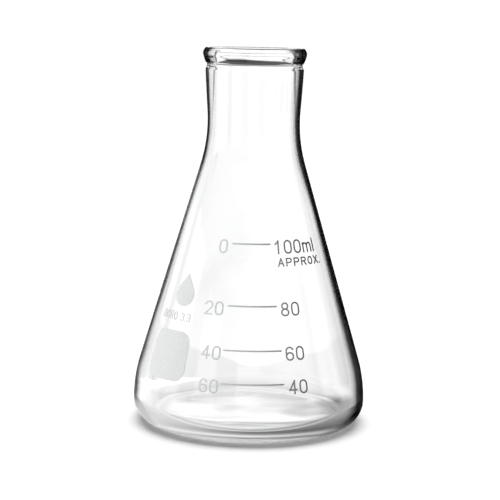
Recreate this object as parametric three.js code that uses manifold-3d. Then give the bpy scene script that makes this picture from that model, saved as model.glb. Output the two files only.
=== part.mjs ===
// A 100 ml Erlenmeyer flask: one body of blown borosilicate glass, and the white enamel markings fired
// onto its wall. Millimetres, +Z up, origin at the centre of the ring that the flask stands on.
// The graduation faces -Y. A mark's angle runs round the flask from there, positive towards +X.
import * as THREE from "three";
import { mergeVertices } from "three/addons/utils/BufferGeometryUtils.js";
import Module from "manifold-3d";

const wasm = await Module();
wasm.setup();

// ---- Driving dimensions of the glass ----
const HEIGHT = 103;
const BODY_RADIUS = 32;
const CONE_ANGLE = THREE.MathUtils.degToRad(16.6); // lean of the straight wall
const HEEL_ARC = 6.4; // radius of the rounded foot
const BELLY_ARC = 40; // radius that turns the foot into the cone
const SHOULDER_ARC = 41; // hollow radius that turns the cone into the neck
const NECK_RADIUS = 12.6; // at the neck's waist
const NECK_FLARE = THREE.MathUtils.degToRad(2.8); // the neck widens a little towards the bead
const BORE_RADIUS = 11.5;
const LIP_ARC = 1.3; // inner edge of the mouth, fire-polished round
const LIP_LAND = 0.6; // width of the flat land on top of the bead
// The bead under that land: how far it stands out from the neck's waist, and how far down from the top.
const BEAD = [
  { out: 0.75, down: 5.9 }, // a low collar left by the forming tool
  { out: 0.45, down: 4.5 }, // the groove
  { out: 0.95, down: 3.5 },
  { out: 1.5, down: 1.5 }, // the widest point
  { out: 1.15, down: 0.45 },
];
const FLOOR = 2.5; // thickness of the bottom at its edge
const FLOOR_CROWN = 0.4; // the inside of the bottom is this much higher in the middle
const CROWN_RADIUS = 15; // the inside of the bottom is at half that height here
const HEEL_WALL = 2.2; // thickness of the wall at the top of the inner heel
const INNER_HEEL_ARC = 5;
const RING_INNER_RADIUS = 23.5; // the standing ring runs from here to the start of the heel
const PUNT = 0.9; // rise of the underside in the middle
// Thickness of the wall against height: thick at the foot, thinnest halfway up, thicker in the neck.
const WALL = [
  { z: 8, thickness: 2.1 },
  { z: 30, thickness: 1.45 },
  { z: 55, thickness: 1 },
  { z: 71, thickness: 1 },
  { z: 84, thickness: 1.1 },
];
const INNER_RINGS = [79, 75, 71, 55, 42, 30, 20, 13]; // heights of the rings on the inside of the wall
const TURNS = 60; // facets round the glass

// ---- Driving dimensions of the enamel ----
const ENAMEL = 0.08; // thickness
const ENAMEL_GAP = 0.05; // clearance that keeps the faceted enamel out of the faceted glass
const LINE_WIDTH = 0.42;
const STROKE = 0.42; // of the figures
const FIGURE_WIDTH = 2.35;
const FIGURE_HEIGHT = 3.75;
const FIGURE_SPACE = 0.6; // between neighbouring figures
const FIGURE_DROP = 0.8; // figures are centred this far below their line
const BLUNT = 0.99; // a tile with a round side stops short of it, where it would have no height

// Each graduation: its height, its line's ends as arc lengths from the front, and the volume printed on each
// side with the arc length of its end next to the line. On the left stands what has been poured out, and on
// the right what is left in the flask.
const GRADUATIONS = [
  { z: 52.2, line: [-5.1, 5], left: "0", leftEnd: -6.3, right: "100ml", rightStart: 5.8 },
  { z: 36.4, line: [-6, 7], left: "20", leftEnd: -7.1, right: "80", rightStart: 8.1 },
  { z: 25.2, line: [-6.9, 8.5], left: "40", leftEnd: -7.6, right: "60", rightStart: 9.6 },
  { z: 16.8, line: [-7.5, 9.3], left: "60", leftEnd: -8.1, right: "40", rightStart: 10.7 },
];
const TOLERANCE_NOTE = { z: 47.5, start: 7.1, width: 1.8, space: 0.55, height: 2.3, stroke: 0.36 };
const GLASS_NOTE = { z: 32.2, start: -28, width: 1.35, space: 0.3, height: 2.3, stroke: 0.26 };
const DROP = { z: 39.2, centre: -19.1, radius: 3.3, height: 9 };
const SPOT = { z: 22.1, centre: -24.4, width: 13.8, height: 13.4, corner: 3.2 };

const glass = new THREE.MeshStandardMaterial({
  color: 0xf1f6f6,
  roughness: 0.02,
  metalness: 0,
  transparent: true,
  opacity: 0.3,
});
const enamel = new THREE.MeshStandardMaterial({ color: 0xd9dbdb, roughness: 0.55, metalness: 0 });

// ---- The outline of the glass, as points of radius and height ----
const arc = (r, z, radius, from, to, steps) =>
  new THREE.EllipseCurve(r, z, radius, radius, from, to, to < from).getPoints(steps);
const curve = (from, through, to, steps) =>
  new THREE.QuadraticBezierCurve(
    new THREE.Vector2(...from),
    new THREE.Vector2(...through),
    new THREE.Vector2(...to),
  ).getPoints(steps);

// Where the straight cone begins and ends, and the height at which the neck is narrowest.
const CONE_FOOT = {
  r: BODY_RADIUS - BELLY_ARC * (1 - Math.cos(CONE_ANGLE)),
  z: HEEL_ARC + BELLY_ARC * Math.sin(CONE_ANGLE),
};
const CONE_TOP_RADIUS = NECK_RADIUS + SHOULDER_ARC * (1 - Math.cos(CONE_ANGLE));
const CONE_TOP = CONE_FOOT.z + (CONE_FOOT.r - CONE_TOP_RADIUS) / Math.tan(CONE_ANGLE);
const WAIST = CONE_TOP + SHOULDER_ARC * Math.sin(CONE_ANGLE);

// The outside radius of the glass between the heel and the waist.
function outerRadius(z) {
  if (z < CONE_FOOT.z) {
    return BODY_RADIUS - BELLY_ARC + Math.sqrt(BELLY_ARC ** 2 - (z - HEEL_ARC) ** 2);
  }
  if (z < CONE_TOP) {
    return CONE_FOOT.r - (z - CONE_FOOT.z) * Math.tan(CONE_ANGLE);
  }
  return NECK_RADIUS + SHOULDER_ARC - Math.sqrt(SHOULDER_ARC ** 2 - (WAIST - z) ** 2);
}

// How far the outside's normal leans up from level, between the heel and the waist.
function lean(z) {
  if (z < CONE_FOOT.z) return Math.asin((z - HEEL_ARC) / BELLY_ARC);
  if (z < CONE_TOP) return CONE_ANGLE;
  return Math.asin((WAIST - z) / SHOULDER_ARC);
}

function wallThickness(z) {
  const above = WALL.findIndex((w) => w.z >= z);
  const [low, high] = [WALL[above - 1], WALL[above]];
  return THREE.MathUtils.mapLinear(z, low.z, high.z, low.thickness, high.thickness);
}

// The bead, from the collar under it over its widest point to the flat land on top.
function beadOutline() {
  const points = BEAD.map(({ out, down }) => new THREE.Vector2(NECK_RADIUS + out, HEIGHT - down));
  points.push(new THREE.Vector2(BORE_RADIUS + LIP_ARC + LIP_LAND, HEIGHT));
  return new THREE.SplineCurve(points).getPoints(12);
}

function innerWall() {
  return INNER_RINGS.map(
    (z) => new THREE.Vector2(outerRadius(z) - wallThickness(z) / Math.cos(lean(z)), z),
  );
}

function flaskBody() {
  const innerHeel = BODY_RADIUS - HEEL_WALL - INNER_HEEL_ARC; // radius of the inner heel's centre
  const crown = FLOOR + FLOOR_CROWN;
  const profile = [
    ...curve([0, PUNT], [RING_INNER_RADIUS / 2, PUNT], [RING_INNER_RADIUS, 0], 3),
    ...arc(BODY_RADIUS - HEEL_ARC, HEEL_ARC, HEEL_ARC, -Math.PI / 2, 0, 7),
    ...arc(BODY_RADIUS - BELLY_ARC, HEEL_ARC, BELLY_ARC, 0, CONE_ANGLE, 4).slice(1),
    ...arc(
      NECK_RADIUS + SHOULDER_ARC,
      WAIST,
      SHOULDER_ARC,
      Math.PI + CONE_ANGLE,
      Math.PI - NECK_FLARE,
      6,
    ),
    ...beadOutline(),
    ...arc(BORE_RADIUS + LIP_ARC, HEIGHT - LIP_ARC, LIP_ARC, Math.PI / 2, Math.PI, 4),
    new THREE.Vector2(BORE_RADIUS, WAIST),
    ...innerWall(),
    ...arc(innerHeel, FLOOR + INNER_HEEL_ARC, INNER_HEEL_ARC, 0, -Math.PI / 2, 5),
    ...curve([CROWN_RADIUS, FLOOR + FLOOR_CROWN / 2], [CROWN_RADIUS / 2, crown], [0, crown], 2),
  ];
  const body = new THREE.LatheGeometry(profile, TURNS);
  return body.rotateX(Math.PI / 2); // a lathe turns round Y, and the flask stands along Z
}

// ---- Laying enamel on the wall ----
// Takes a flat mark, x to the right, y up and z away from the glass, and wraps it round the wall with its
// origin at the given angle and height.
function layOnWall(flat, angle, height) {
  const position = flat.getAttribute("position");
  for (let i = 0; i < position.count; i++) {
    const z = height + position.getY(i) * Math.cos(CONE_ANGLE);
    const turn = angle + position.getX(i) / outerRadius(height);
    const lift = ENAMEL_GAP + position.getZ(i);
    const r = outerRadius(z) + lift * Math.cos(lean(z));
    position.setXYZ(i, r * Math.sin(turn), -r * Math.cos(turn), z + lift * Math.sin(lean(z)));
  }
  flat.computeVertexNormals();
  return flat;
}

// A flat tile in narrow columns, so that it can follow the wall: low and high give its edges at each x.
function tile(width, low, high) {
  const columns = 2 * Math.max(4, Math.ceil(width / 2));
  const flat = new THREE.BoxGeometry(2, 2, ENAMEL, columns, 1, 1);
  const position = flat.getAttribute("position");
  for (let i = 0; i < position.count; i++) {
    const x = (width / 2) * Math.sin((position.getX(i) * Math.PI) / 2); // columns crowd towards the ends
    position.setXYZ(i, x, position.getY(i) < 0 ? low(x) : high(x), position.getZ(i) + ENAMEL / 2);
  }
  return flat;
}

const bar = (length, width) => tile(length, () => -width / 2, () => width / 2);

function roundedPatch({ width, height, corner }) {
  const edge = (x) => {
    const past = Math.max(0, Math.abs(x) - (width / 2 - corner));
    return height / 2 - corner + Math.sqrt(Math.max(0, corner ** 2 - past ** 2));
  };
  return tile(width, (x) => -edge(x), edge);
}

// A drop of water: a circle with two straight flanks that meet in a point above it.
function waterDrop({ radius, height }) {
  const centre = radius - height / 2; // height of the circle's centre, with the drop's middle at 0
  const apex = height / 2;
  const flank = Math.asin(radius / (apex - centre)); // half the angle at the point
  const touch = radius * Math.cos(flank); // where the flank leaves the circle
  const high = (x) =>
    Math.abs(x) < touch
      ? apex - Math.abs(x) / Math.tan(flank)
      : centre + Math.sqrt(radius ** 2 - x ** 2);
  return tile(2 * radius * BLUNT, (x) => centre - Math.sqrt(radius ** 2 - x ** 2), high);
}

// ---- Figures and letters, drawn by pen strokes ----
// Each entry gives its strokes' centrelines in a box w wide and h high round the origin.
const at = (x, y) => new THREE.Vector2(x, y);
const line = (...xy) => ({ points: xy.map((p) => at(...p)) });
const bend = (x, y, rx, ry, from, to, steps = 8) => ({
  points: new THREE.EllipseCurve(
    x,
    y,
    rx,
    ry,
    THREE.MathUtils.degToRad(from),
    THREE.MathUtils.degToRad(to),
    to < from,
  ).getPoints(steps),
});
const join = (...strokes) => ({ points: strokes.flatMap((s) => s.points) });
const loop = (...strokes) => ({ points: join(...strokes).points, closed: true });
const oval = (w, h) =>
  loop(bend(0, (h - w) / 2, w / 2, w / 2, 0, 180, 7), bend(0, (w - h) / 2, w / 2, w / 2, 180, 360, 7));
const ring = (y, rx, ry) => loop({ points: bend(0, y, rx, ry, 0, 360, 14).points.slice(1) });
// A stem on the left with a round bowl from its top down to y, w wide.
const bowl = (w, top, y) =>
  join(
    line([-w / 2, top], [w / 8, top]),
    { points: bend(w / 8, (top + y) / 2, (w * 3) / 8, (top - y) / 2, 90, -90, 6).points.slice(1) },
    line([-w / 2, y]),
  );

const CHARACTERS = {
  0: (w, h) => [oval(w, h)],
  1: (w, h) => [line([0.1 * w, -h / 2], [0.1 * w, h / 2]), line([-0.3 * w, 0.24 * h], [0.1 * w, 0.46 * h])],
  2: (w, h) => [
    join(bend(0, (h - w) / 2, w / 2, w / 2, 165, -25), line([-0.42 * w, -h / 2])),
    line([-w / 2, -h / 2], [w / 2, -h / 2]),
  ],
  3: (w, h) => [
    bend(0, h / 4, 0.46 * w, h / 4, 150, -90),
    bend(0, -h / 4, w / 2, h / 4, 90, -150),
  ],
  4: (w, h) => [
    line([0.2 * w, -h / 2], [0.2 * w, h / 2]),
    line([0.2 * w, 0.48 * h], [-w / 2, -0.22 * h]),
    line([-0.56 * w, -0.22 * h], [w / 2, -0.22 * h]),
  ],
  6: (w, h) => [
    ring(-0.21 * h, w / 2, 0.29 * h),
    join(bend(0, (h - w) / 2, w / 2, w / 2, 25, 180), line([-w / 2, -0.2 * h])),
  ],
  8: (w, h) => [ring(0.26 * h, 0.43 * w, 0.24 * h), ring(-0.24 * h, w / 2, 0.26 * h)],
  m: (w, h) => {
    const top = 0.2 * h; // of a small letter
    const spring = top - w / 4; // where the two arches leave their stems
    return [
      line([-w / 2, -h / 2], [-w / 2, top]),
      join(bend(-w / 4, spring, w / 4, w / 4, 180, 0, 6), line([0, -h / 2])),
      join(bend(w / 4, spring, w / 4, w / 4, 180, 0, 6), line([w / 2, -h / 2])),
    ];
  },
  l: (w, h) => [line([0, -h / 2], [0, h / 2])],
  A: (w, h) => [
    line([-w / 2, -h / 2], [0, h / 2]),
    line([w / 2, -h / 2], [0, h / 2]),
    line([-0.3 * w, -0.16 * h], [0.3 * w, -0.16 * h]),
  ],
  B: (w, h) => [line([-w / 2, -h / 2], [-w / 2, h / 2]), bowl(0.92 * w, h / 2, 0), bowl(w, 0, -h / 2)],
  O: (w, h) => [ring(0, w / 2, h / 2)],
  P: (w, h) => [line([-w / 2, -h / 2], [-w / 2, h / 2]), bowl(w, h / 2, -0.04 * h)],
  R: (w, h) => [
    line([-w / 2, -h / 2], [-w / 2, h / 2]),
    bowl(w, h / 2, 0),
    line([0, 0], [w / 2, -h / 2]),
  ],
  X: (w, h) => [line([-w / 2, -h / 2], [w / 2, h / 2]), line([-w / 2, h / 2], [w / 2, -h / 2])],
  ".": (w, h) => [line([0, -h / 2], [0, 0.02 - h / 2])],
};
const WIDTHS = { m: 1.35, l: 0.2, ".": 0.2, " ": 0.5 }; // compared with a figure, where that isn't 1

// The flat outline of one pen stroke, square at its ends.
function strokeShape({ points, closed = false }, pen) {
  const count = points.length;
  const sides = points.map((point, i) => {
    const before = points[closed ? (i + count - 1) % count : Math.max(0, i - 1)];
    const after = points[closed ? (i + 1) % count : Math.min(count - 1, i + 1)];
    const arriving = (i > 0 || closed ? point.clone().sub(before) : after.clone().sub(point)).normalize();
    const leaving = (i < count - 1 || closed ? after.clone().sub(point) : arriving.clone()).normalize();
    const along = arriving.clone().add(leaving).normalize();
    const reach = pen / 2 / Math.max(0.4, along.dot(leaving));
    const across = at(-along.y, along.x).multiplyScalar(reach);
    const end = closed || (i > 0 && i < count - 1) ? 0 : pen / 2;
    const middle = point.clone().addScaledVector(along, i === 0 ? -end : end);
    return [middle.clone().add(across), middle.clone().sub(across)];
  });
  const left = sides.map((s) => s[0]);
  const right = sides.map((s) => s[1]);
  if (!closed) return new THREE.Shape([...left, ...right.reverse()]);
  const shape = new THREE.Shape(right);
  shape.holes.push(new THREE.Path(left));
  return shape;
}

// A closed geometry as a manifold-3d solid, and back.
function toSolid(geometry) {
  geometry.deleteAttribute("normal");
  geometry.deleteAttribute("uv");
  const merged = mergeVertices(geometry, 1e-5);
  return new wasm.Manifold(
    new wasm.Mesh({
      numProp: 3,
      vertProperties: merged.attributes.position.array,
      triVerts: new Uint32Array(merged.index.array),
    }),
  );
}

function toGeometry(solid) {
  const mesh = solid.getMesh();
  return new THREE.BufferGeometry()
    .setAttribute("position", new THREE.BufferAttribute(Float32Array.from(mesh.vertProperties), 3))
    .setIndex(new THREE.BufferAttribute(Uint32Array.from(mesh.triVerts), 1));
}

// One character, flat: its strokes joined into one closed solid.
function character(letter, width, height, pen) {
  const solids = CHARACTERS[letter](width - pen, height - pen).map((stroke) =>
    toSolid(new THREE.ExtrudeGeometry(strokeShape(stroke, pen), { depth: ENAMEL, bevelEnabled: false })),
  );
  return toGeometry(solids.reduce((whole, solid) => whole.add(solid)));
}

// ---- Assembly ----
const flask = new THREE.Group();

function addNode(name, geometry, material) {
  const mesh = new THREE.Mesh(geometry, material);
  mesh.name = name;
  flask.add(mesh);
}

const textWidth = (text, width, space) =>
  [...text].reduce((sum, letter) => sum + width * (WIDTHS[letter] ?? 1) + space, -space);

// Prints a line of text that starts at an arc length from the front, one node for each character.
function printText(name, text, { z, start, width, space, height, stroke }) {
  let x = start;
  [...text].forEach((letter, i) => {
    const w = width * (WIDTHS[letter] ?? 1);
    if (letter !== " ") {
      const flat = character(letter, w, height, stroke);
      const node = `${name}_${i + 1}_${letter === "." ? "point" : letter}`;
      addNode(node, layOnWall(flat, (x + w / 2) / outerRadius(z), z), enamel);
    }
    x += w + space;
  });
}

function addGraduation({ z, line: [from, to], left, leftEnd, right, rightStart }) {
  const figures = {
    z: z - FIGURE_DROP,
    width: FIGURE_WIDTH,
    space: FIGURE_SPACE,
    height: FIGURE_HEIGHT,
    stroke: STROKE,
  };
  const volume = parseInt(right, 10);
  const middle = (from + to) / 2 / outerRadius(z);
  addNode(`line_${volume}ml`, layOnWall(bar(to - from, LINE_WIDTH), middle, z), enamel);
  const leftStart = leftEnd - textWidth(left, FIGURE_WIDTH, FIGURE_SPACE);
  printText(`poured_${left}ml_character`, left, { ...figures, start: leftStart });
  printText(`content_${volume}ml_character`, right, { ...figures, start: rightStart });
}

addNode("flask_body", flaskBody(), glass);
GRADUATIONS.forEach(addGraduation);
printText("approx_character", "APPROX.", TOLERANCE_NOTE);
printText("boro_character", "BORO 3.3", GLASS_NOTE);
addNode("drop_emblem", layOnWall(waterDrop(DROP), DROP.centre / outerRadius(DROP.z), DROP.z), enamel);
addNode("writing_spot", layOnWall(roundedPatch(SPOT), SPOT.centre / outerRadius(SPOT.z), SPOT.z), enamel);

export default flask;
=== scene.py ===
"""The looks of the Erlenmeyer flask: clear borosilicate glass with white fired enamel markings.

Everything is in metres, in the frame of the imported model: +Z up, the graduation facing -Y, and the flask
standing on z = 0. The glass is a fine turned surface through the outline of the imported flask_body, and the
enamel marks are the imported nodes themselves. An azimuth says where something stands round the flask: 0 is
in front of the graduation, at -Y, and 90 is at +X.
"""

import math

import bpy
import numpy as np
from mathutils import Matrix, Vector


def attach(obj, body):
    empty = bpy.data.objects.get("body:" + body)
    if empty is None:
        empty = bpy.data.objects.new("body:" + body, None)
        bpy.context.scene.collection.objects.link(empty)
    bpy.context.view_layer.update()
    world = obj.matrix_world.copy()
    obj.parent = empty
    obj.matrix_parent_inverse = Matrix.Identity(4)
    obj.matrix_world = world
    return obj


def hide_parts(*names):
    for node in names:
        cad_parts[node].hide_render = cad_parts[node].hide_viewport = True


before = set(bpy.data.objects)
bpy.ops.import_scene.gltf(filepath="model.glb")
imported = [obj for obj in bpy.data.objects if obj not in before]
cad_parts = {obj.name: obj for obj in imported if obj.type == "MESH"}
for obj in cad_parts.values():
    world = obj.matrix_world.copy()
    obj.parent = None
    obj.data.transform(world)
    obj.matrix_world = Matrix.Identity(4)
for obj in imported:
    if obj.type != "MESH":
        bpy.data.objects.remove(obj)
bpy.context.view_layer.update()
MM = 0.001

# ---- Camera, from the photograph's viewing angle ----
CAMERA_BACK = 426.4 * MM  # from the flask's axis
CAMERA_UP = 110.9 * MM  # above the surface that the flask stands on
CAMERA_SIDE = -0.37 * MM
CAMERA_PITCH = math.radians(8.43)  # looking down
CAMERA_ROLL = math.radians(1.09)  # the flask leans a little to the right in the picture
LENS = 112.5  # in millimetres
SENSOR = 36  # in millimetres
CLIP = (0.01, 20)

# ---- The visible glass ----
AROUND = 240  # facets round the flask
ALONG = 0.9 * MM  # longest spacing of its rings
FEWEST_STEPS = 5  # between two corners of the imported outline
TINY = 1e-7  # in metres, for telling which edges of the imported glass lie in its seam
GLASS_IOR = 1.474  # borosilicate glass
GLASS_COLOUR = (0.995, 1.0, 0.997, 1)
RIPPLE = {"Scale": 90.0, "Detail": 1.0, "Roughness": 0.4}  # the slight waves of blown glass
RIPPLE_STRETCH = (1.0, 1.0, 0.25)
RIPPLE_BUMP = {"Strength": 0.05, "Distance": 0.3 * MM}
# What the glass leaves of the light of the lamps: face on, and at its edges.
SHADOW_FACE = (0.65, 0.66, 0.65, 1)
SHADOW_EDGE = (0.05, 0.055, 0.05, 1)

# The outer surface gets painted shade where it turns away: how much, by the Facing of Layer Weight.
PAINTED_EDGE_SHADE = [(0.515, 0.0), (0.615, 0.12), (0.685, 0.55), (0.745, 0.95), (1.0, 0.985)]
EDGE_LEAN = 0.065  # the painted shade starts sooner on the right, towards +X, and later on the left
EDGE_LEFT = 0.8  # and is weaker on the left, below the neck
MIDDLE = 10 * MM  # left turns into right within this distance of the middle
EDGE_NECK = 0.085  # it starts sooner in the neck
NECK = (58 * MM, 74 * MM)  # the heights between which the neck begins
EDGE_BEAD = 0.12  # and sooner still in the thick glass of the bead
GROOVE = 98.3 * MM  # height of the groove under the bead, which stays clear
GROOVE_CLEAR = (0.4 * MM, 0.9 * MM)  # to this distance from its middle
BEAD = (GROOVE, GROOVE + MM)
EDGE_FOOT = (4 * MM, 8 * MM)  # heights between which the painted shade sets in on the left
EDGE_FOOT_RIGHT = 3 * MM  # and how much lower on the right
HEEL = (0.5 * MM, 1.7 * MM)  # below these heights the heel lets part of the light straight through
HEEL_CLEAR = 0.45

# ---- The enamel ----
GRAIN = {"Scale": 2200.0, "Detail": 3.0, "Roughness": 0.6}
GRAIN_BUMP = {"Strength": 0.2, "Distance": 0.03 * MM}
ENAMEL = [(0.3, (0.67, 0.68, 0.68, 1)), (0.7, (0.76, 0.77, 0.77, 1))]  # by grain
ENAMEL_ROUGHNESS = 0.6

# ---- The table ----
TABLE_RADIUS = 1.6
TABLE_SIDES = 96
TABLE_LEVEL = -0.04 * MM
TABLE_COLOUR = (0.9, 0.905, 0.9, 1)

# ---- The light tent round the flask, which only the glass sees ----
TENT_RADIUS = 0.36
TENT_HEIGHT = 0.23
TENT_LEVEL = -0.01 * MM  # height of its floor
TENT_SIDES = 180
TENT_HOLE = 0.01 * MM  # in the middle of its floor
# Its walls are grey by azimuth, in one way up to BAND_TOP and in another above.
LOW = [(0, 0.35), (15, 0.8), (35, 1.0), (60, 1.0), (72, 0.02), (345, 0.02), (360, 0.35)]
HIGH = [(0, 0.5), (20, 0.85), (90, 0.85), (112, 0.03), (330, 0.03), (345, 0.1), (360, 0.5)]
BAND_TOP = 152 * MM
BAND_SOFT = 5 * MM
TOP_TILT = 0.12  # this edge slopes up towards +X
TILT_REACH = 80 * MM  # as far as this to either side
TOP_WAVE = {"Scale": 18.0, "Detail": 1.0}
WAVE_HEIGHT = 30 * MM
# Its windows reach up to the same edge: azimuth, brightness, and how fast they widen with distance.
WINDOWS = [
    (180.5, 1.07, 0.29),
    (227, 0.93, 0.19),
    (270, 1.3, 0.19),
    (45, 1.02, 0.19),
    (90, 1.0, 0.12),
    (0, 1.0, 0.12),
    (135, 0.95, 0.08),
    (315, 0.95, 0.08),
]
WINDOW_HALF_WIDTH = 34 * MM  # at the flask
WINDOW_SOFT = (-0.02, 0.04)
# Near the flask the tent's floor is pale with dark rings of painted contact shadow under the heel, by radius
# in millimetres.
PAINTED_SHADOW_RINGS = [
    (0, 1.0),
    (22.5, 1.0),
    (24.6, 0.15),
    (26.1, 0.95),
    (27.6, 0.3),
    (28.5, 0.15),
    (31, 0.35),
    (36, 0.9),
]
# By azimuth, the rings are then lifted towards white, as painted light on the back and left, and dimmed, as
# painted shade towards +X.
PAINTED_LIGHT_BY_AZIMUTH = [(0, 0.0), (100, 0.0), (130, 0.7), (250, 0.8), (290, 0.7), (330, 0.35), (360, 0.0)]
PAINTED_SHADE_BY_AZIMUTH = [(0, 1.0), (40, 0.65), (75, 0.5), (85, 0.15), (108, 0.15), (120, 0.9), (290, 0.9), (360, 1.0)]
NEAR_END = (37 * MM, 42 * MM)  # the walls' grey begins between these radii
UNDER = (18.8 * MM, 23.5 * MM)  # within these radii there are painted streaks of light and shade instead of rings
UNDER_PAINTED_SHADE = 0.3  # painted shade: darker by this much on the right
STREAK_SCALE = (34, 85, 0)  # streaks per metre
STREAKS = {"Scale": 1.0, "Detail": 1.5, "Distortion": 1.0}
STREAK_RANGE = {"From Min": 0.35, "From Max": 0.62, "To Min": 0.6, "To Max": 1.25}

# ---- The lamps ----
# Azimuth, elevation and size in degrees, and strength.
KEY = {"azimuth": -63, "elevation": 20, "size": 40, "strength": 3.5}
TOP = {"azimuth": 180, "elevation": 86, "size": 62, "strength": 4.2}
ROOM_BRIGHTNESS = 1.02

BLACK = (0, 0, 0, 1)
WHITE = (1, 1, 1, 1)


# ---- Small helpers for node materials ----
def new_material(name):
    material = bpy.data.materials.new(name)
    material.use_nodes = True
    tree = material.node_tree
    tree.nodes.clear()
    return material, tree


def node(tree, kind, inputs=None, **settings):
    made = tree.nodes.new(kind)
    for key, value in settings.items():
        setattr(made, key, value)
    for key, value in (inputs or {}).items():
        socket = made.inputs[key]
        if isinstance(value, bpy.types.NodeSocket):
            tree.links.new(value, socket)
        else:
            socket.default_value = value
    return made


def object_place(tree):
    """Where a point lies in its object, as a vector and as x, y and z."""
    place = node(tree, "ShaderNodeTexCoord").outputs["Object"]
    return place, node(tree, "ShaderNodeSeparateXYZ", {0: place}).outputs


def grey(value):
    return (value, value, value, 1)


def ramp(tree, factor, stops):
    """A colour ramp from a factor to a colour, through (position, colour) stops."""
    made = node(tree, "ShaderNodeValToRGB", {"Fac": factor})
    elements = made.color_ramp.elements
    while len(elements) < len(stops):
        elements.new(1.0)
    for element, (position, colour) in zip(elements, stops):
        element.position = position
        element.color = colour
    return made.outputs["Color"]


def noise(tree, place, settings):
    return node(tree, "ShaderNodeTexNoise", {"Vector": place, **settings}).outputs["Fac"]


def bumps(tree, height, settings):
    return node(tree, "ShaderNodeBump", {"Height": height, **settings}).outputs["Normal"]


def maths(tree, operation, *values):
    return node(tree, "ShaderNodeMath", dict(enumerate(values)), operation=operation).outputs[0]


def scaled(tree, value, factor, plus):
    """The value times a factor, plus another value."""
    return maths(tree, "MULTIPLY_ADD", value, factor, plus)


def vector_maths(tree, operation, output, *values):
    return node(tree, "ShaderNodeVectorMath", dict(enumerate(values)), operation=operation).outputs[output]


def span(tree, value, ends):
    """Rises smoothly from 0 at the first end to 1 at the second."""
    low, high = ends
    return node(
        tree,
        "ShaderNodeMapRange",
        {"Value": value, "From Min": low, "From Max": high},
        interpolation_type="SMOOTHSTEP",
    ).outputs[0]


def fall(tree, value, ends):
    """Falls smoothly from 1 at the first end to 0 at the second."""
    return maths(tree, "SUBTRACT", 1.0, span(tree, value, ends))


def mixed(tree, factor, a, b):
    """Colour a where the factor is 0, and b where it is 1."""
    return node(tree, "ShaderNodeMix", {0: factor, 6: a, 7: b}, data_type="RGBA").outputs[2]


def mixed_shader(tree, factor, a, b):
    return node(tree, "ShaderNodeMixShader", {0: factor, 1: a, 2: b}).outputs["Shader"]


def see_through(tree, colour):
    return node(tree, "ShaderNodeBsdfTransparent", {"Color": colour}).outputs["BSDF"]


# ---- The glass ----
def seam_outline(cad_node):
    """The outline of a turned CAD node in its half-plane towards +X: (radius, height) pairs from the middle
    of the underside, up the outside and down the inside to the middle of the floor."""
    vertices = cad_node.data.vertices
    links = {}
    for edge in cad_node.data.edges:
        ends = [vertices[i].co for i in edge.vertices]
        if all(abs(p.y) < TINY and p.x > -TINY for p in ends):
            a, b = [(round(p.x, 7), round(p.z, 7)) for p in ends]
            if a != b:
                links.setdefault(a, set()).add(b)
                links.setdefault(b, set()).add(a)
    here = min((p for p in links if p[0] == 0), key=lambda p: p[1])
    outline, seen = [here], {here}
    while True:
        ahead = [p for p in links[here] if p not in seen]
        if not ahead:
            return outline
        here = ahead[0]
        outline.append(here)
        seen.add(here)


def smooth_outline(corners):
    """The same outline with rounded stretches smooth and straight ones straight, in short steps."""
    p = [Vector((r, z, 0)) for r, z in corners]
    level = Vector((1, 0, 0))
    towards = [level] + [(b - a).normalized() for a, b in zip(p, p[2:])] + [-level]
    points = []
    for i in range(len(p) - 1):
        length = (p[i + 1] - p[i]).length
        steps = max(FEWEST_STEPS, math.ceil(length / ALONG))
        for k in range(steps):
            t = k / steps
            at = (
                p[i] * (2 * t**3 - 3 * t**2 + 1)
                + p[i + 1] * (3 * t**2 - 2 * t**3)
                + towards[i] * length * (t**3 - 2 * t**2 + t)
                + towards[i + 1] * length * (t**3 - t**2)
            )
            points.append((max(at.x, 0.0), max(at.y, 0.0)))
    return points + [corners[-1]]


def turned(name, outline):
    """A closed surface of revolution round Z, from an outline that starts and ends on the axis. Faces past
    the outline's last highest point take the second material."""
    rings = outline[1:-1]
    vertices = [(0, 0, outline[0][1])]
    for r, z in rings:
        for k in range(AROUND):
            turn = 2 * math.pi * k / AROUND
            vertices.append((r * math.cos(turn), r * math.sin(turn), z))
    vertices.append((0, 0, outline[-1][1]))
    last = len(vertices) - 1
    top = max(z for r, z in outline) - 0.01 * MM
    rim = max(i for i, (r, z) in enumerate(rings) if z > top)
    inner = 1 + (len(rings) - 1) * AROUND
    faces = []
    for k in range(AROUND):
        j = (k + 1) % AROUND
        faces.append((0, 1 + j, 1 + k))
        faces.append((last, inner + k, inner + j))
        for i in range(len(rings) - 1):
            a = 1 + i * AROUND
            b = a + AROUND
            faces.append((a + k, a + j, b + j, b + k))
    mesh = bpy.data.meshes.new(name)
    mesh.from_pydata(vertices, [], faces)
    mesh.validate()
    mesh.polygons.foreach_set("use_smooth", [True] * len(mesh.polygons))
    for face in mesh.polygons:
        face.material_index = int(min(face.vertices) > rim * AROUND)
    made = bpy.data.objects.new(name, mesh)
    bpy.context.scene.collection.objects.link(made)
    return made


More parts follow.
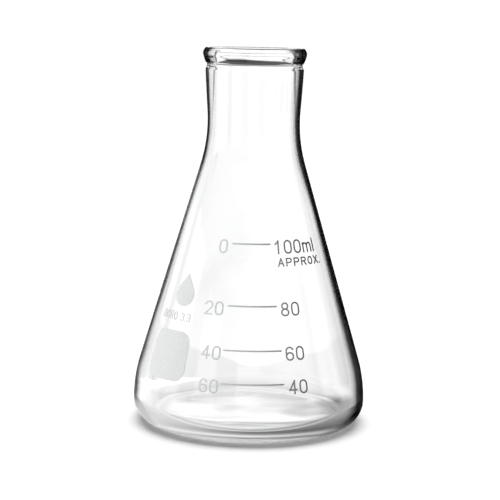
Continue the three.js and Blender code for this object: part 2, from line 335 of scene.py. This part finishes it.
def with_painted_edge_shade(tree, surface, facing):
    """Paints shade onto a surface where it turns away, and lets light straight through the bottom of the
    heel.
    """
    x, y, z = object_place(tree)[1]
    right = span(tree, x, (-MIDDLE, MIDDLE))
    neck = span(tree, z, NECK)
    sooner = scaled(tree, right, 2 * EDGE_LEAN, maths(tree, "SUBTRACT", facing, EDGE_LEAN))
    sooner = scaled(tree, span(tree, z, BEAD), EDGE_BEAD, sooner)
    sooner = scaled(tree, neck, EDGE_NECK, sooner)
    # painted shade: how black the surface turns where it turns away
    dark = ramp(tree, sooner, [(at, grey(value)) for at, value in PAINTED_EDGE_SHADE])
    outside = maths(tree, "SUBTRACT", 1.0, node(tree, "ShaderNodeNewGeometry").outputs["Backfacing"])
    above = span(tree, scaled(tree, right, EDGE_FOOT_RIGHT, z), EDGE_FOOT)
    from_groove = maths(tree, "ABSOLUTE", maths(tree, "SUBTRACT", z, GROOVE))
    side = maths(tree, "MAXIMUM", scaled(tree, right, 1 - EDGE_LEFT, EDGE_LEFT), neck)
    for share in (outside, above, span(tree, from_groove, GROOVE_CLEAR), side):
        dark = maths(tree, "MULTIPLY", dark, share)
    through = scaled(tree, span(tree, z, HEEL), -HEEL_CLEAR, HEEL_CLEAR)
    surface = mixed_shader(tree, through, surface, see_through(tree, WHITE))
    return mixed_shader(tree, dark, surface, see_through(tree, BLACK))


def glass_material(name, painted_edge_shade):
    """Clear glass, which only dims the light of the lamps on its way through, and can get painted shade at
    the edges of its outer surface.
    """
    material, tree = new_material(name)
    place = object_place(tree)[0]
    stretched = node(tree, "ShaderNodeMapping", {"Vector": place, "Scale": RIPPLE_STRETCH}).outputs["Vector"]
    surface = node(
        tree,
        "ShaderNodeBsdfPrincipled",
        {
            "Base Color": GLASS_COLOUR,
            "Roughness": 0.0,
            "IOR": GLASS_IOR,
            "Transmission Weight": 1.0,
            "Normal": bumps(tree, noise(tree, stretched, RIPPLE), RIPPLE_BUMP),
        },
    ).outputs["BSDF"]
    facing = node(tree, "ShaderNodeLayerWeight", {"Blend": 0.5}).outputs["Facing"]
    if painted_edge_shade:
        surface = with_painted_edge_shade(tree, surface, facing)
    veil = mixed_shader(tree, facing, see_through(tree, SHADOW_FACE), see_through(tree, SHADOW_EDGE))
    is_shadow = node(tree, "ShaderNodeLightPath").outputs["Is Shadow Ray"]
    node(tree, "ShaderNodeOutputMaterial", {"Surface": mixed_shader(tree, is_shadow, surface, veil)})
    return material


def enamel_material():
    material, tree = new_material("fired_white_enamel")
    grain = noise(tree, object_place(tree)[0], GRAIN)
    surface = node(
        tree,
        "ShaderNodeBsdfPrincipled",
        {
            "Base Color": ramp(tree, grain, ENAMEL),
            "Roughness": ENAMEL_ROUGHNESS,
            "Normal": bumps(tree, grain, GRAIN_BUMP),
        },
    ).outputs["BSDF"]
    node(tree, "ShaderNodeOutputMaterial", {"Surface": surface})
    return material


glass = turned("flask_glass", smooth_outline(seam_outline(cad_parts["flask_body"])))
# the outer glass gets painted shade at its edges, the inside glass none
glass.data.materials.append(glass_material("clear_borosilicate_glass", True))
glass.data.materials.append(glass_material("clear_borosilicate_glass_inside", False))
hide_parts("flask_body")
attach(glass, "root")

enamel = enamel_material()
marks = [mark for name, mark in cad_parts.items() if name != "flask_body"]
for mark in marks:
    mark.data.materials.clear()
    mark.data.materials.append(enamel)


# ---- The studio ----
def staged(name, vertices, faces, material):
    """A new object that belongs to the studio."""
    mesh = bpy.data.meshes.new(name)
    mesh.from_pydata(vertices, [], faces)
    mesh.materials.append(material)
    made = bpy.data.objects.new(name, mesh)
    bpy.context.scene.collection.objects.link(made)
    return made


def circle(radius, z, sides):
    turns = np.linspace(0, 2 * math.pi, sides, endpoint=False)
    return [(radius * math.cos(t), radius * math.sin(t), z) for t in turns]


def add_floor():
    material, tree = new_material("white_table")
    surface = node(tree, "ShaderNodeBsdfDiffuse", {"Color": TABLE_COLOUR}).outputs["BSDF"]
    node(tree, "ShaderNodeOutputMaterial", {"Surface": surface})
    rim = circle(TABLE_RADIUS, TABLE_LEVEL, TABLE_SIDES)
    floor = staged("floor", rim, [tuple(range(len(rim)))], material)
    floor.visible_diffuse = False
    return floor


def tent_walls(tree, part, place, x, z):
    """Grey panels with white windows, by azimuth and height."""
    low, high = [ramp(tree, part, [(a / 360, grey(v)) for a, v in stops]) for stops in (LOW, HIGH)]
    reach = {"Value": x, "Min": -TILT_REACH, "Max": TILT_REACH}
    z = scaled(tree, node(tree, "ShaderNodeClamp", reach).outputs["Result"], -TOP_TILT, z)
    z = maths(tree, "ADD", z, scaled(tree, noise(tree, place, TOP_WAVE), WAVE_HEIGHT, -0.5 * WAVE_HEIGHT))
    edge = (BAND_TOP - BAND_SOFT, BAND_TOP + BAND_SOFT)
    walls = mixed(tree, span(tree, z, edge), low, high)
    below = fall(tree, z, edge)
    for azimuth, brightness, spread in WINDOWS:
        a = math.radians(azimuth)
        along = vector_maths(tree, "DOT_PRODUCT", "Value", place, (math.sin(a), -math.cos(a), 0))
        across = vector_maths(tree, "DOT_PRODUCT", "Value", place, (math.cos(a), math.sin(a), 0))
        beside = maths(tree, "SUBTRACT", maths(tree, "ABSOLUTE", across), WINDOW_HALF_WIDTH)
        slope = maths(tree, "DIVIDE", beside, maths(tree, "MAXIMUM", along, MM))
        window = fall(tree, slope, [spread + soft for soft in WINDOW_SOFT])
        window = maths(tree, "MULTIPLY", window, maths(tree, "GREATER_THAN", along, 0.0))
        walls = mixed(tree, maths(tree, "MULTIPLY", window, below), walls, grey(brightness))
    return walls


def tent_material():
    """The tent's walls, and round the flask a pale floor with dark rings of painted contact shadow under the
    heel, painted streaks of light and shade in the middle, and painted shade towards +X.
    """
    material, tree = new_material("light_tent")
    place, (x, y, z) = object_place(tree)
    turn = maths(tree, "ARCTAN2", maths(tree, "MULTIPLY", x, -1.0), y)
    part = maths(tree, "ADD", maths(tree, "DIVIDE", turn, 2 * math.pi), 0.5)
    level = node(tree, "ShaderNodeCombineXYZ", {0: x, 1: y}).outputs["Vector"]
    radius = vector_maths(tree, "LENGTH", "Value", level)
    end = NEAR_END[0]
    # the rings of painted contact shadow under the heel
    rings = ramp(tree, maths(tree, "DIVIDE", radius, end), [(r * MM / end, grey(v)) for r, v in PAINTED_SHADOW_RINGS])
    # painted light lifts the rings towards white on the back and left, and painted shade dims them towards
    # +X
    ring_light, ring_shade = [ramp(tree, part, [(a / 360, grey(v)) for a, v in stops]) for stops in (PAINTED_LIGHT_BY_AZIMUTH, PAINTED_SHADE_BY_AZIMUTH)]
    rings = mixed(tree, ring_shade, BLACK, mixed(tree, ring_light, rings, WHITE))
    # painted streaks of light and shade under the middle of the base
    stretched = vector_maths(tree, "MULTIPLY", "Vector", level, STREAK_SCALE)
    streaks = {"Value": noise(tree, stretched, STREAKS), **STREAK_RANGE}
    streaks = node(tree, "ShaderNodeMapRange", streaks).outputs[0]
    # painted shade: the streaks darken towards +X
    streaks = scaled(tree, span(tree, x, (0.0, UNDER[1])), -UNDER_PAINTED_SHADE, streaks)
    near = mixed(tree, span(tree, radius, UNDER), streaks, rings)
    colour = mixed(tree, span(tree, radius, NEAR_END), near, tent_walls(tree, part, place, x, z))
    light = node(tree, "ShaderNodeEmission", {"Color": colour, "Strength": 1.0}).outputs["Emission"]
    node(tree, "ShaderNodeOutputMaterial", {"Surface": light})
    return material


def add_tent():
    """Only the glass sees the tent: its dark panels draw the flask's edges."""
    rings = [(TENT_HOLE, TENT_LEVEL), (TENT_RADIUS, TENT_LEVEL), (TENT_RADIUS, TENT_HEIGHT)]
    vertices = [point for r, z in rings for point in circle(r, z, TENT_SIDES)]
    faces = []
    for i in range(len(rings) - 1):
        a = i * TENT_SIDES
        b = a + TENT_SIDES
        for k in range(TENT_SIDES):
            j = (k + 1) % TENT_SIDES
            faces.append((a + k, a + j, b + j, b + k))
    tent = staged("tent", vertices, faces, tent_material())
    tent.visible_camera = False
    tent.visible_diffuse = False
    tent.visible_shadow = False


def add_sun(name, lit, azimuth, elevation, size, strength):
    """A soft distant light on a few objects, which the glass doesn't mirror."""
    light = bpy.data.lights.new(name, "SUN")
    light.energy = strength
    light.angle = math.radians(size)
    lamp = bpy.data.objects.new(name, light)
    bpy.context.scene.collection.objects.link(lamp)
    a, e = math.radians(azimuth), math.radians(elevation)
    away = Vector((math.sin(a) * math.cos(e), -math.cos(a) * math.cos(e), math.sin(e)))
    lamp.location = away
    lamp.rotation_euler = (-away).to_track_quat("-Z", "Y").to_euler()
    lamp.visible_glossy = False
    lamp.visible_transmission = False
    receivers = bpy.data.collections.new(f"lit_by_{name}")
    for piece in lit:
        receivers.objects.link(piece)
    lamp.light_linking.receiver_collection = receivers


def add_world():
    world = bpy.data.worlds.new("white_room")
    world.use_nodes = True
    tree = world.node_tree
    tree.nodes.clear()
    light = {"Color": WHITE, "Strength": ROOM_BRIGHTNESS}
    back = node(tree, "ShaderNodeBackground", light).outputs["Background"]
    node(tree, "ShaderNodeOutputWorld", {"Surface": back})
    world.cycles_visibility.diffuse = False
    bpy.context.scene.world = world


def add_camera():
    data = bpy.data.cameras.new("camera")
    data.lens = LENS
    data.sensor_width = SENSOR
    data.clip_start, data.clip_end = CLIP
    camera = bpy.data.objects.new("camera", data)
    bpy.context.scene.collection.objects.link(camera)
    camera.matrix_world = (
        Matrix.Translation((CAMERA_SIDE, -CAMERA_BACK, CAMERA_UP))
        @ Matrix.Rotation(math.radians(90) - CAMERA_PITCH, 4, "X")
        @ Matrix.Rotation(CAMERA_ROLL, 4, "Z")
    )
    bpy.context.scene.camera = camera


floor = add_floor()
add_tent()
add_sun("key", marks, **KEY)
add_sun("top", [floor], **TOP)
add_world()
add_camera()
bpy.context.scene.view_settings.view_transform = "Standard"
